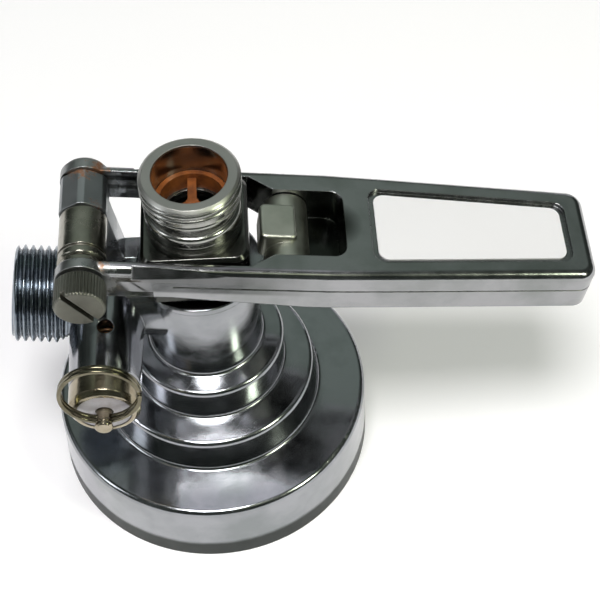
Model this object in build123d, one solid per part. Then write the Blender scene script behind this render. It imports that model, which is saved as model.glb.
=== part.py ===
# Lever keg coupler. Millimetres. The origin is the centre of the bell's mouth, +Z runs up
# the probe, +X points to the handle's tip, and the relief valve faces -Y.
from build123d import *
import os
from math import cos, hypot, radians, sin, sqrt

# Clearances
run_fit = 0.06
seat_gap = 0.03
side_gap = 0.3

# Bell and stepped shoulders
bell_r = 40.2
bell_draft = 0.7
bell_height = 19.4
bell_wall = 4.6
bell_depth = 14.6
lower_ring_r = 26.2
lower_ring_foot_r = 27.5
lower_ring_foot_z = 21.0
lower_ring_z = 30.0
upper_ring_r = 19.1
upper_ring_foot_z = 31.4
upper_ring_z = 41.3
casting_wall = 4.0
bayonet_count = 3
bayonet_reach = 3.6
bayonet_height = 3.2
bayonet_z = 1.8
bayonet_arc = 38.0

# Tower
tower_r = 13.8
tower_foot_z = 42.4
tower_rim_r = 14.6
tower_rim_height = 1.7
tower_top_z = 69.0
tower_bore_r = 9.9
gland_bore_r = 10.4
gland_floor_z = 62.5
bush_length = 5.2
retainer_thickness = 0.9
retainer_bite = 0.8

# Probe and beer outlet
probe_r = 8.3
probe_tip_z = 6.0
probe_bore_r = 5.0
neck_half_x = 12.0
neck_half_y = 12.5
neck_round = 3.0
neck_bottom_z = 70.5
neck_top_z = 84.4
outlet_height = 14.7
outlet_r = 11.3
outlet_bore_r = 8.4
outlet_thread_depth = 0.55
outlet_lip_r = 11.2
outlet_lip_height = 0.9
outlet_bevel = 0.8
collar_r = 10.5
collar_step = 2.1
collar_ridge_r = 10.8
collar_line = 0.3
collar_height = 4.9
relief_groove_r = 10.2
relief_groove_height = 3.6
thread_stop_r = 11.0
thread_stop_height = 0.6
ball_r = 5.8
ball_seat_z = 76.0
ball_chamber_r = 6.6
ball_lift = 1.8
insert_height = 4.5
insert_wall = 1.1
spoke_width = 2.0
spoke_count = 3
probe_seal_r = 9.6
probe_seal_height = 4.0
probe_lip = 1.5
probe_groove_depth = 1.1

# Lever, drawn flat about its pivot and then tilted
pivot_x = -24.87
pivot_z = 82.97
lever_tilt = 7.6
lever_top = 4.67
lever_depth = 11.0
lever_edge_round = 2.2
lever_slim_depth = 8.9
lever_slim_x = 20.0
lever_full_x = 50.0
arm_slope_run = 2.0
arm_slope_drop = 3.9
seam_below = 5.4
seam_width = 0.35
seam_depth = 0.2
eye_r = 5.75
arm_outer = 15.6
arm_thickness = 2.5
lever_waist_x = 54.5
lever_shoulder_x = 67.5
lever_shoulder_half = 15.1
lever_tip_x = 116.0
lever_tip_half = 12.9
lever_tip_round = 4.0
lever_plate = 3.2
lever_skin = 2.2
fork_end_x = 37.0
window_near_x = 42.5
window_far_x = 58.6
window_half = 9.5
window_round = 3.0
window_floor_depth = 9.4
label_near_x = 64.5
label_far_x = 110.9
label_near_half = 10.9
label_far_half = 8.7
label_round = 3.0
label_recess = 1.0
label_margin = 1.3
label_thickness = 0.4
trunnion_r = 2.0
trunnion_x = 25.09
trunnion_reach = 2.3
trunnion_seat = 1.6

# Hinge
hinge_r = 3.0
hinge_thread_r = 2.4
screw_head_r = 5.7
screw_head_length = 6.6
screw_neck_r = 4.2
screw_neck_length = 0.6
screw_slot_width = 1.3
screw_slot_depth = 1.5
screw_slot_angle = 48.0
eye_boss_r = 5.2
eye_boss_height = 1.4
lug_front_y = 2.5
lug_back_y = 12.4
lug_web_y = 8.6
lug_flare = 2.2
lug_foot_x = -27.6
lug_shoulder_z = 76.0
lug_across_flats = 10.6
sleeve_r = 5.35
sleeve_front_y = -11.2
front_washer_r = 5.0
rear_washer_r = 4.9

# Thumb latch
latch_axis_x = 45.8
latch_axis_z = -1.5
latch_barrel_r = 5.2
latch_pin_r = 1.5
thumb_near_x = 39.2
thumb_far_x = 47.5
thumb_half = 5.0
thumb_top = 5.1
hook_width = 8.0
hook_thickness = 3.2
catch_reach = 15.9
catch_height = 3.0
catch_half = 4.5
latch_well_r = 3.5
latch_well_depth = 4.4
latch_wire_r = 0.35

# Valve block and gas inlet
valve_z = 58.5
valve_root_near_r = 8.4
valve_root_far_r = 11.4
valve_root_gap = 4.0
inlet_x = -30.0
inlet_tilt = 8.9
inlet_boss_r = 9.6
inlet_thread_r = 11.45
inlet_length = 14.2
inlet_collar_r = 9.7
inlet_collar_height = 1.4
inlet_spigot_r = 6.9
inlet_spigot_length = 7.0
inlet_bore_r = 4.9
inlet_counterbore_r = 7.6
inlet_counterbore_depth = 9.0
gas_way_r = 3.2
duckbill_flange = 2.0
duckbill_r = 4.4
duckbill_length = 7.0
duckbill_lip = 1.0
washer_thickness = 2.2

# Relief valve
relief_x = -22.2
relief_r = 8.7
relief_mouth_r = 8.2
relief_back = 8.2
relief_mouth = 27.0
relief_bore_r = 6.6
relief_seat = 9.6
relief_seat_hole_r = 2.6
vent_r = 1.9
vent_s = 15.8
cap_r = 8.15
cap_end = 33.6
cap_bevel = 1.1
cap_groove = 0.4
cap_cup_r = 6.3
cap_cup_depth = 0.6
cap_spigot = 7.1
disc_thickness = 0.35
poppet_r = 5.2
poppet_thickness = 2.0
poppet_hub = 1.4
poppet_seal_thickness = 0.8
pull_pin_r = 1.8
pull_head_r = 2.0
pull_head_length = 0.9
pull_neck_r = 1.5
pull_neck_length = 0.3
pull_pin_end = 37.8
pull_hole_r = 1.2
pull_hole_s = 35.2
pull_ring_r = 8.75
pull_ring_wire = 1.0
pull_ring_gap = 0.08
pull_ring_lean = 5.0
pull_ring_split = 12.0
relief_wire_r = 0.45
relief_coil_r = 4.4
relief_turns = 5

# Keg seal
keg_seal_z = 26.2
keg_seal_bore_r = 22.2
keg_seal_inner_r = 15.4
keg_seal_height = 4.8

# Worked out once from the sizes above
bell_top_r = bell_r - bell_draft
bell_bore_r = bell_r - bell_wall
outlet_top_z = neck_top_z + outlet_height
arm_inner = arm_outer - arm_thickness
trunnion_z = pivot_z - trunnion_x * sin(radians(lever_tilt))
lever_frame = Pos(pivot_x, 0, pivot_z) * Rot(0, lever_tilt, 0)
relief_frame = Pos(relief_x, 0, valve_z) * Rot(90, 0, 0)
inlet_frame = Pos(inlet_x, 0, valve_z) * Rot(0, inlet_tilt - 90, 0)
ball_z = ball_seat_z + sqrt(ball_r**2 - probe_bore_r**2) + seat_gap
outlet_shelf_z = ball_z + ball_r + ball_lift
bush_top_z = gland_floor_z + bush_length
duckbill_seat = inlet_length - inlet_counterbore_depth


def turned(points, rounds=()):
    """Solid of revolution about Z from (radius, height) corners; rounds are (corner, radius)."""
    face = make_face(Polyline(*points, close=True))
    for index, radius in rounds:
        r, z = points[index]
        corner = face.vertices().sort_by_distance((r, z, 0))[0]
        face = fillet(corner, radius)
    return revolve(Plane.XZ * face, axis=Axis.Z)


def ring(outer, inner, low, high):
    """Plain ring about Z."""
    return turned([(inner, low), (outer, low), (outer, high), (inner, high)])


def rod(radius, low, high):
    """Round bar about Z."""
    return Pos(0, 0, low) * Cylinder(radius, high - low, align=(Align.CENTER, Align.CENTER, Align.MIN))


def block(x0, x1, y0, y1, z0, z1):
    """Box between two corners."""
    return Pos(x0, y0, z0) * Box(x1 - x0, y1 - y0, z1 - z0, align=(Align.MIN, Align.MIN, Align.MIN))


def cross_rod(radius, x, z, y0, y1):
    """Round bar along Y, from y0 to y1."""
    return Pos(x, y1, z) * Rot(90, 0, 0) * rod(radius, 0, y1 - y0)


def side_plate(points, y0, y1):
    """Plate with an XZ outline, from y0 to y1."""
    face = Plane.XZ * make_face(Polyline(*points, close=True))
    return Pos(0, y1, 0) * extrude(face, y1 - y0)


def tapered_outline(near_x, far_x, near_half, far_half, radius):
    """Four-sided outline, symmetric about X, with rounded corners."""
    corners = [(near_x, -near_half), (far_x, -far_half), (far_x, far_half), (near_x, near_half)]
    face = make_face(Polyline(*corners, close=True))
    return fillet(face.vertices(), radius)


def coil(radius, wire, height, turns):
    """Round-wire coil about Z, starting at its wire's radius above zero."""
    rise = height - 2 * wire
    path = Helix(rise / turns, rise, radius)
    section = Plane(origin=path @ 0, z_dir=path % 0) * Circle(wire)
    return Pos(0, 0, wire) * sweep(section, path)


def flat_point(x, z):
    """A point of the rest pose in the lever's own flat frame."""
    a = radians(lever_tilt)
    dx, dz = x - pivot_x, z - pivot_z
    return dx * cos(a) - dz * sin(a), dx * sin(a) + dz * cos(a)


def bell_casting():
    """Bell, two stepped shoulders and tower, without bores."""
    rim_z = tower_top_z - tower_rim_height
    points = [(0, 0), (bell_r, 0), (bell_top_r, bell_height), (lower_ring_foot_r, lower_ring_foot_z),
              (lower_ring_r, lower_ring_z), (upper_ring_r - 0.2, upper_ring_foot_z),
              (upper_ring_r, upper_ring_z), (tower_r, tower_foot_z), (tower_r, rim_z - 0.8),
              (tower_rim_r, rim_z), (tower_rim_r, tower_top_z), (0, tower_top_z)]
    return turned(points, [(2, 1.6), (3, 1.2), (4, 1.5), (5, 0.9), (6, 1.3), (7, 1.2), (10, 0.5)])


def bell_hollow():
    """Stepped hollow under the bell and the bore up the tower."""
    upper_r = upper_ring_r - casting_wall
    points = [(0, -1), (bell_bore_r, -1), (bell_bore_r, bell_depth), (keg_seal_bore_r, bell_depth),
              (keg_seal_bore_r, keg_seal_z), (upper_r, keg_seal_z), (upper_r, upper_ring_z - casting_wall),
              (tower_bore_r, upper_ring_z - casting_wall + 2), (tower_bore_r, gland_floor_z),
              (gland_bore_r, gland_floor_z), (gland_bore_r, tower_top_z + 1), (0, tower_top_z + 1)]
    hollow = turned(points, [(2, 2.0)])
    groove = ring(gland_bore_r + retainer_bite, gland_bore_r - 1, bush_top_z,
                  bush_top_z + retainer_thickness + 2 * seat_gap)
    return hollow + groove


def bayonet_lugs():
    """Inward lugs that turn under the keg's collar."""
    face = Plane.XZ * make_face(Polyline(
        (bell_bore_r - bayonet_reach, bayonet_z + 0.6), (bell_bore_r + 0.5, bayonet_z),
        (bell_bore_r + 0.5, bayonet_z + bayonet_height),
        (bell_bore_r - bayonet_reach, bayonet_z + bayonet_height), close=True))
    lug = revolve(face, axis=Axis.Z, revolution_arc=bayonet_arc)
    return [Rot(0, 0, i * 360 / bayonet_count) * lug for i in range(bayonet_count)]


def valve_casting():
    """Valve block beside the tower: gas boss, relief housing and hinge lug."""
    root_x = inlet_x + valve_root_gap
    root_end = 1 - sqrt(tower_r**2 - valve_root_far_r**2)
    root = Pos(root_x, 0, valve_z) * Rot(0, 90, 0) * Cone(
        valve_root_near_r, valve_root_far_r, root_end - root_x, align=(Align.CENTER, Align.CENTER, Align.MIN))
    boss = inlet_frame * rod(inlet_boss_r, inlet_x - relief_x, 0)
    housing = relief_frame * turned(
        [(0, -relief_back), (relief_r, -relief_back), (relief_r, relief_seat),
         (relief_mouth_r, relief_mouth), (0, relief_mouth)], [(1, 4.5), (3, 0.5)])
    lug_r = lug_across_flats / 2
    web_top = tower_top_z - 0.6
    tower_side = -tower_r + 1.3
    web = side_plate([(lug_foot_x, valve_z), (lug_foot_x, web_top + 3), (pivot_x - lug_r, lug_shoulder_z),
                      (pivot_x - lug_r, pivot_z), (pivot_x + lug_r, pivot_z),
                      (pivot_x + lug_r + lug_flare, web_top), (tower_side, web_top),
                      (tower_side, valve_z)], lug_front_y, lug_web_y)
    head = Pos(pivot_x, lug_back_y, pivot_z) * Rot(90, 0, 0) * extrude(
        RegularPolygon(lug_r, 6, major_radius=False, rotation=30), lug_back_y - lug_front_y)
    trim = cross_rod(lug_r * 1.08, pivot_x, pivot_z, lug_front_y, lug_back_y)
    return root + boss + housing + web + (head & trim)


def gas_ways():
    """Bores of the gas inlet, the relief valve and the way to the tower."""
    spigot = inlet_frame * rod(inlet_spigot_r + seat_gap, -inlet_spigot_length - seat_gap, 3)
    spot_face = inlet_frame * rod(inlet_thread_r + side_gap, 0, inlet_length)
    inner = inlet_frame * rod(gas_way_r, inlet_x - relief_x, 0)
    across = Pos(relief_x, 0, valve_z) * Rot(0, 90, 0) * rod(gas_way_r, 0, -relief_x)
    chamber = relief_frame * rod(relief_bore_r, relief_seat, relief_mouth + 1)
    seat = relief_frame * rod(relief_seat_hole_r, 0, relief_seat + 1)
    vent = Pos(relief_x + 0.7, -vent_s, valve_z) * rod(vent_r, 0, relief_r + 2)
    hinge = cross_rod(hinge_r + run_fit, pivot_x, pivot_z, lug_front_y - 1, lug_back_y + 1)
    return spigot + spot_face + inner + across + chamber + seat + vent + hinge


def catch_lug():
    """Ledge on the tower beside the latch's toe."""
    return block(tower_r - 1.5, catch_reach, -catch_half, catch_half, tower_top_z - catch_height,
                 tower_top_z)


def make_body():
    """One casting: bell, tower, valve block, hinge lug and catch."""
    body = bell_casting() + valve_casting() + catch_lug()
    body = body - bell_hollow() - gas_ways()
    seat_lip = relief_frame * ring(relief_seat_hole_r + 0.9, relief_seat_hole_r, relief_seat - 0.5,
                                   relief_seat + 0.6)
    return body + bayonet_lugs() + seat_lip


def make_tower_bush():
    """Plastic guide bush with a groove for its ring."""
    outer = gland_bore_r - seat_gap
    inner = probe_r + run_fit
    mid = (gland_floor_z + bush_top_z) / 2
    low, high = gland_floor_z + seat_gap, bush_top_z - seat_gap
    return ring(outer, inner, low, high) - ring(o_ring_centre() + o_ring_wire() + seat_gap, inner - 1,
                                               mid - o_ring_wire() - seat_gap,
                                               mid + o_ring_wire() + seat_gap)


def o_ring_wire():
    """Wire radius of the gland's ring, set by the bush's wall."""
    return (gland_bore_r - probe_r) * 0.3


def o_ring_centre():
    """Centre radius of the gland's ring."""
    return probe_r + run_fit + o_ring_wire()


def make_tower_o_ring():
    """Gland ring that wipes the probe."""
    return Pos(0, 0, (gland_floor_z + bush_top_z) / 2) * Torus(o_ring_centre(), o_ring_wire())


def make_bush_retainer():
    """Open ring snapped in above the bush."""
    low = bush_top_z + seat_gap
    outer = gland_bore_r + retainer_bite - seat_gap
    full = ring(outer, gland_bore_r - 1.3, low, low + retainer_thickness)
    return full - block(-outer - 1, 0, -1.6, 1.6, low - 1, low + 2)


def make_keg_seal():
    """Rubber ring in the bell's roof, with a rounded sealing lip."""
    low = keg_seal_z - keg_seal_height
    outer = keg_seal_bore_r - seat_gap
    mid = (outer + keg_seal_inner_r) / 2
    return turned([(keg_seal_inner_r, low + 1.2), (mid, low), (outer, low + 1.2),
                   (outer, keg_seal_z - seat_gap), (keg_seal_inner_r, keg_seal_z - seat_gap)], [(1, 1.5)])


def outlet_turning():
    """Turned outlet: two collars, a relief groove, the thread's root and a bevelled lip."""
    root_r = outlet_r - outlet_thread_depth
    ridge_top = neck_top_z + collar_height
    groove_top = ridge_top + relief_groove_height
    stop_top = groove_top + thread_stop_height
    lip_z = outlet_top_z - outlet_lip_height
    line_z = neck_top_z + collar_step
    return turned([(0, neck_top_z - 1), (collar_r, neck_top_z - 1), (collar_r, line_z),
                   (collar_r - collar_line, line_z + collar_line / 2), (collar_ridge_r, line_z + collar_line),
                   (collar_ridge_r, ridge_top), (relief_groove_r - collar_line, ridge_top + collar_line),
                   (relief_groove_r, groove_top - collar_line), (thread_stop_r, groove_top),
                   (thread_stop_r, stop_top), (root_r, stop_top + outlet_thread_depth / 2),
                   (root_r, lip_z - outlet_thread_depth / 2), (outlet_lip_r, lip_z),
                   (outlet_lip_r, outlet_top_z - outlet_bevel + 0.1), (outlet_lip_r - outlet_bevel, outlet_top_z),
                   (0, outlet_top_z)], [(2, 0.5), (5, 1.1), (8, 0.2), (9, 0.2)])


def make_probe():
    """Outlet, square neck and probe tube in one turned and milled piece."""
    seal_low = probe_tip_z + probe_lip
    seal_high = seal_low + probe_seal_height + 2 * seat_gap
    tube = turned([(0, probe_tip_z), (probe_r - 0.5, probe_tip_z), (probe_r, seal_low),
                   (probe_r - probe_groove_depth, seal_low), (probe_r - probe_groove_depth, seal_high),
                   (probe_r, seal_high), (probe_r, neck_bottom_z + 1), (0, neck_bottom_z + 1)])
    neck = extrude(RectangleRounded(2 * neck_half_x, 2 * neck_half_y, neck_round),
                   neck_top_z - neck_bottom_z)
    neck = Pos(0, 0, neck_bottom_z) * chamfer(neck.faces().sort_by(Axis.Z)[-1].edges(), 0.8)
    bore = turned([(0, probe_tip_z - 1), (probe_bore_r, probe_tip_z - 1), (probe_bore_r, ball_seat_z),
                   (ball_chamber_r, ball_seat_z), (ball_chamber_r, outlet_shelf_z),
                   (outlet_bore_r, outlet_shelf_z), (outlet_bore_r, outlet_top_z + 1),
                   (0, outlet_top_z + 1)])
    slot_half = trunnion_r + run_fit
    slot_floor = arm_inner - trunnion_reach - side_gap
    slot_mouth = neck_half_y + 1
    slots = [block(-neck_half_x - 1, neck_half_x + 1, min(s * slot_floor, s * slot_mouth),
                   max(s * slot_floor, s * slot_mouth), trunnion_z - slot_half, trunnion_z + slot_half)
             for s in (-1, 1)]
    return tube + neck + outlet_turning() - bore - slots


def make_probe_seal():
    """Rubber ring near the probe's tip that seals on the keg's valve."""
    low = probe_tip_z + probe_lip + seat_gap
    inner = probe_r - probe_groove_depth + seat_gap
    return turned([(inner, low), (probe_r + 0.4, low), (probe_seal_r, low + 1.2),
                   (probe_seal_r, low + probe_seal_height - 1), (probe_seal_r - 0.8, low + probe_seal_height),
                   (inner, low + probe_seal_height)])


def make_outlet_insert():
    """Plastic cage in the outlet: a rim, a hub and spokes that stop the ball."""
    outer = outlet_bore_r - seat_gap
    rim = ring(outer, outer - insert_wall, 0, insert_height)
    hub = rod(1.5, 0, insert_height * 0.7)
    spoke = block(0, outer - insert_wall / 2, -spoke_width / 2, spoke_width / 2, 0, insert_height * 0.7)
    spokes = [Rot(0, 0, 90 + i * 360 / spoke_count) * spoke for i in range(spoke_count)]
    return Pos(0, 0, outlet_shelf_z + seat_gap) * (rim + hub + spokes)


def make_check_ball():
    """Ball that keeps beer from running back."""
    return Pos(0, 0, ball_z) * Sphere(ball_r)


def lever_outline(inset):
    """Half-width corners of the lever's plan, drawn in by inset."""
    start = -eye_r + inset
    half = [(start, arm_outer - inset), (lever_waist_x, arm_outer - inset),
            (lever_shoulder_x, lever_shoulder_half - inset), (lever_tip_x - inset, lever_tip_half - inset)]
    corners = half + [(x, -y) for x, y in reversed(half)]
    face = make_face(Polyline(*corners, close=True))
    tips = face.vertices().group_by(Axis.X)[-1]
    return fillet(tips, lever_tip_round - inset)


def fork_outline(grow):
    """Gap between the arms, opening into the window, grown outwards by grow."""
    half = [(-2 * eye_r, arm_inner + grow), (fork_end_x + grow, arm_inner + grow),
            (window_near_x + grow, window_half + grow), (window_far_x + grow, window_half + grow)]
    corners = half + [(x, -y) for x, y in reversed(half)]
    face = make_face(Polyline(*corners, close=True))
    far = face.vertices().group_by(Axis.X)[-1]
    return fillet(far, window_round + grow)


def lever_blank():
    """Lever's outside: eye, slim arms and deep handle, with its top edges rounded."""
    bottom = lever_top - lever_depth
    slim = lever_top - lever_slim_depth
    wide = arm_outer + 1
    plan = Pos(0, 0, -eye_r) * extrude(lever_outline(0), 2 * eye_r)
    side = cross_rod(eye_r, 0, 0, -wide, wide)
    side += side_plate([(0, lever_top), (lever_tip_x + 1, lever_top), (lever_tip_x + 1, bottom),
                        (lever_full_x, bottom), (lever_slim_x, slim), (0, slim)], -wide, wide)
    blank = Pos(0, 0, min(0, bottom + eye_r)) * plan + plan & side
    rim = blank.edges().filter_by(lambda e: abs(e.center().Z - lever_top) < 0.01
                                  and e.center().X > lever_slim_x)
    return fillet(rim, lever_edge_round)


def arm_slopes():
    """Wedges that slope the arms' outer faces and fade out where the handle begins."""
    high = Vector(0, arm_outer - arm_slope_run, lever_top)
    low = Vector(0, arm_outer, lever_top - arm_slope_drop)
    fade = Vector(lever_waist_x, arm_outer, lever_top)
    outward = (low - high).cross(fade - high)
    face = Plane(origin=high, x_dir=fade - high, z_dir=outward if outward.Y > 0 else -outward)
    wedge = face * Box(3 * lever_waist_x, 4 * arm_outer, 2 * eye_r, align=(Align.CENTER, Align.CENTER, Align.MIN))
    wedge &= block(eye_boss_r + eye_r, lever_waist_x, 0, 2 * arm_outer, -lever_depth, 2 * lever_top)
    return [wedge, mirror(wedge, about=Plane.XZ)]


def make_lever():
    """Cast handle: two arms, a window, a label recess and a hollow underside."""
    tall = lever_depth + 2 * eye_r
    bottom = lever_top - lever_depth
    lever = lever_blank() - arm_slopes()
    lever -= Pos(0, 0, -lever_depth) * extrude(fork_outline(0), tall)
    hollow = extrude(lever_outline(lever_skin), lever_depth) - extrude(fork_outline(lever_skin), lever_depth)
    hollow -= block(-2 * eye_r, fork_end_x + 2 * lever_skin, -arm_outer, arm_outer, -1, lever_depth + 1)
    lever -= Pos(0, 0, lever_top - lever_plate - lever_depth) * hollow
    floor_top = lever_top - window_floor_depth
    floor_x = latch_axis_x + sqrt(latch_barrel_r**2 - (latch_axis_z - floor_top)**2) + side_gap
    lever += block(floor_x, window_far_x + lever_skin / 2, -window_half - lever_skin / 2,
                   window_half + lever_skin / 2, bottom, floor_top)
    recess = tapered_outline(label_near_x, label_far_x, label_near_half, label_far_half, label_round)
    lever -= Pos(0, 0, lever_top - label_recess) * extrude(recess, label_recess + 1)
    seam = extrude(lever_outline(-1) - lever_outline(seam_depth), seam_width)
    seam &= block(lever_slim_x, 2 * lever_tip_x, -2 * arm_outer, 2 * arm_outer, -1, 1)
    lever -= Pos(0, 0, lever_top - seam_below) * seam
    boss = cross_rod(eye_boss_r, 0, 0, arm_outer, arm_outer + eye_boss_height)
    lever += fillet(boss.edges().sort_by(Axis.Y)[-1], 0.9)
    lever -= cross_rod(hinge_r + run_fit, 0, 0, -arm_outer - 1, -arm_inner + 1)
    lever -= cross_rod(hinge_thread_r + seat_gap, 0, 0, arm_inner - 1, arm_outer + eye_boss_height - 0.8)
    lever -= trunnions(arm_inner - 1)
    lever -= cross_rod(latch_pin_r, latch_axis_x, latch_axis_z, -latch_pin_end(), latch_pin_end())
    return lever_frame * lever


def trunnions(inner):
    """Two round bars from inner to their blind seats in the arms, in the lever's flat frame."""
    seat = arm_inner + trunnion_seat
    return [cross_rod(trunnion_r, trunnion_x, 0, min(s * inner, s * seat), max(s * inner, s * seat))
            for s in (-1, 1)]


def latch_pin_end():
    """Half length of the latch's pin: across the window and into both of its walls."""
    return window_half + lever_skin - 0.2


def make_label_plate():
    """Bare plate in the lever's recess."""
    m = label_margin
    plate = tapered_outline(label_near_x + m, label_far_x - m, label_near_half - m, label_far_half - m,
                            label_round - 0.6)
    return lever_frame * Pos(0, 0, lever_top - label_recess) * extrude(plate, label_thickness)


def make_lever_pins():
    """Two pins pressed into the arms, which lift the probe by its slots."""
    return lever_frame * Compound(children=trunnions(arm_inner - trunnion_reach))


def make_hinge_screw():
    """Knurled screw whose shank is the hinge pin."""
    neck_y = -arm_outer - screw_neck_length
    head_y = neck_y - screw_head_length
    head = cross_rod(screw_head_r, 0, 0, head_y, neck_y)
    head = chamfer(head.edges().filter_by(GeomType.CIRCLE), 0.5)
    slot = Pos(0, head_y, 0) * Rot(0, screw_slot_angle, 0) * Box(4 * screw_head_r, 2 * screw_slot_depth,
                                                                  screw_slot_width)
    neck = cross_rod(screw_neck_r, 0, 0, neck_y - 0.5, -arm_outer)
    shank = cross_rod(hinge_r, 0, 0, neck_y, arm_inner - seat_gap)
    thread = cross_rod(hinge_thread_r, 0, 0, arm_inner - 1, arm_outer)
    return lever_frame * (head - slot + neck + shank + thread)


def on_hinge(radius, y0, y1, bevel):
    """Ring on the hinge screw with bevelled rims."""
    full = chamfer(cross_rod(radius, pivot_x, pivot_z, y0, y1).edges().filter_by(GeomType.CIRCLE), bevel)
    return full - cross_rod(hinge_r + run_fit, pivot_x, pivot_z, y0 - 1, y1 + 1)


def make_hinge_sleeve():
    """Round spacer with a turned groove near its front rim."""
    back = lug_front_y - seat_gap
    sleeve = on_hinge(sleeve_r, sleeve_front_y, back, 0.5)
    groove_y = sleeve_front_y + 2.0
    return sleeve - (cross_rod(sleeve_r + 1, pivot_x, pivot_z, groove_y, groove_y + 0.7)
                     - cross_rod(sleeve_r - 0.5, pivot_x, pivot_z, groove_y - 1, groove_y + 2))


def make_front_washer():
    """Washer between the sleeve and the front arm."""
    return on_hinge(front_washer_r, -arm_inner + seat_gap, sleeve_front_y - seat_gap, 0.3)


def make_rear_washer():
    """Thin washer between the hinge lug and the rear arm."""
    return on_hinge(rear_washer_r, lug_back_y + seat_gap, arm_inner - seat_gap, 0.1)


def make_thumb_latch():
    """Barrel on a cross pin with a thumb block on top and a toe below."""
    length = window_half - side_gap
    barrel = cross_rod(latch_barrel_r, latch_axis_x, latch_axis_z, -length, length)
    thumb = block(thumb_near_x, thumb_far_x, -thumb_half, thumb_half, latch_axis_z, thumb_top)
    thumb = fillet(thumb.edges().filter_by(Axis.Z), 1.4)
    thumb = fillet(thumb.faces().sort_by(Axis.Z)[-1].edges(), 0.8)
    catch_x, catch_z = flat_point(catch_reach, tower_top_z - catch_height)
    swing = hypot(catch_x, catch_z) + side_gap
    toe_top = catch_z - side_gap
    toe_bottom = toe_top - hook_thickness
    face_x = sqrt(swing**2 - toe_top**2)
    toe_x = sqrt(swing**2 - toe_bottom**2)
    back_x = face_x + hook_thickness
    toe = side_plate([(face_x, latch_axis_z), (face_x, toe_top), (toe_x, toe_bottom),
                      (back_x, toe_bottom), (back_x, latch_axis_z)], -hook_width / 2, hook_width / 2)
    latch = barrel + thumb + toe
    latch -= cross_rod(latch_pin_r + run_fit, latch_axis_x, latch_axis_z, -length - 1, length + 1)
    latch -= cross_rod(latch_well_r, latch_axis_x, latch_axis_z, length - latch_well_depth, length + 1)
    return lever_frame * latch


def make_latch_pin():
    """Pin through the window's walls."""
    end = latch_pin_end()
    return lever_frame * cross_rod(latch_pin_r, latch_axis_x, latch_axis_z, -end, end)


def make_latch_spring():
    """Torsion coil in the barrel's well, around the pin."""
    length = window_half - side_gap
    turns_height = latch_well_depth - 2 * side_gap
    radius = (latch_well_r + latch_pin_r) / 2
    spring = coil(radius, latch_wire_r, turns_height, 3)
    return lever_frame * Pos(latch_axis_x, length - side_gap, latch_axis_z) * Rot(90, 0, 0) * spring


def make_inlet_nipple():
    """Gas inlet nipple: spigot, collar and threaded end; its thread is a plain cylinder here."""
    points = [(0, -inlet_spigot_length), (inlet_spigot_r, -inlet_spigot_length), (inlet_spigot_r, 0),
              (inlet_collar_r, seat_gap), (inlet_collar_r, inlet_collar_height),
              (inlet_thread_r - 1.2, inlet_collar_height), (inlet_thread_r, inlet_collar_height + 1),
              (inlet_thread_r, inlet_length - 1), (inlet_thread_r - 1.1, inlet_length), (0, inlet_length)]
    bore = rod(inlet_bore_r, -inlet_spigot_length - 1, inlet_length + 1)
    counterbore = rod(inlet_counterbore_r, duckbill_seat, inlet_length + 1)
    return inlet_frame * (turned(points) - bore - counterbore)


def make_gas_check_valve():
    """Rubber duckbill that lets gas in and nothing out."""
    flange = ring(inlet_counterbore_r - seat_gap, duckbill_r - 1, duckbill_seat + seat_gap,
                  duckbill_seat + duckbill_flange)
    low = duckbill_seat - duckbill_length
    tube = rod(duckbill_r, duckbill_seat - 1.5, duckbill_seat + seat_gap)
    bill = loft([Plane.XY.offset(low) * Rectangle(duckbill_lip, 1.7 * duckbill_r),
                 Plane.XY.offset(duckbill_seat - 1.5) * Circle(duckbill_r)])
    way = rod(duckbill_r - 1, duckbill_seat - 2, duckbill_seat + duckbill_flange + 1)
    return inlet_frame * (flange + tube + bill - way)


def make_inlet_washer():
    """Flat washer on the duckbill's flange."""
    low = duckbill_seat + duckbill_flange + seat_gap
    return inlet_frame * ring(inlet_counterbore_r - seat_gap, inlet_bore_r, low, low + washer_thickness)


def make_relief_cap():
    """Screwed cap with a bevelled face, a shallow cup for its disc and a long spigot."""
    base = relief_mouth + seat_gap
    spigot = relief_bore_r - seat_gap
    way = pull_pin_r + run_fit
    cup_floor = cap_end - cap_cup_depth
    points = [(spigot, base - cap_spigot), (spigot, base), (cap_r - cap_groove, base),
              (cap_r - cap_groove, base + cap_groove), (cap_r, base + 2 * cap_groove),
              (cap_r, cap_end - cap_bevel), (cap_r - cap_bevel, cap_end), (cap_cup_r, cap_end),
              (cap_cup_r, cup_floor), (way, cup_floor), (way, base - cap_spigot)]
    return relief_frame * turned(points, [(5, 0.5), (6, 0.3)])


def make_relief_disc():
    """Bare disc in the cap's cup, round the pull pin."""
    low = cap_end - cap_cup_depth + seat_gap
    return relief_frame * ring(cap_cup_r - side_gap / 2, pull_pin_r + side_gap, low, low + disc_thickness)


def poppet_base():
    """Distance of the poppet's underside from the valve axis."""
    return relief_seat + 0.6 + seat_gap + poppet_seal_thickness


def make_relief_seal():
    """Rubber disc under the poppet."""
    return relief_frame * rod(relief_seat_hole_r + 1.4, poppet_base() - poppet_seal_thickness, poppet_base())


def make_relief_poppet():
    """Poppet with a hub for the pull pin."""
    base = poppet_base()
    hub_end = base + poppet_thickness + poppet_hub
    plate = turned([(0, base), (poppet_r, base), (poppet_r, base + poppet_thickness),
                    (coil_inner(), base + poppet_thickness), (coil_inner(), hub_end), (0, hub_end)])
    return relief_frame * (plate - rod(pull_pin_r, base + 1, hub_end + 1))


def coil_inner():
    """Radius of the hub that fits inside the relief coil."""
    return relief_coil_r - relief_wire_r - side_gap


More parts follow.
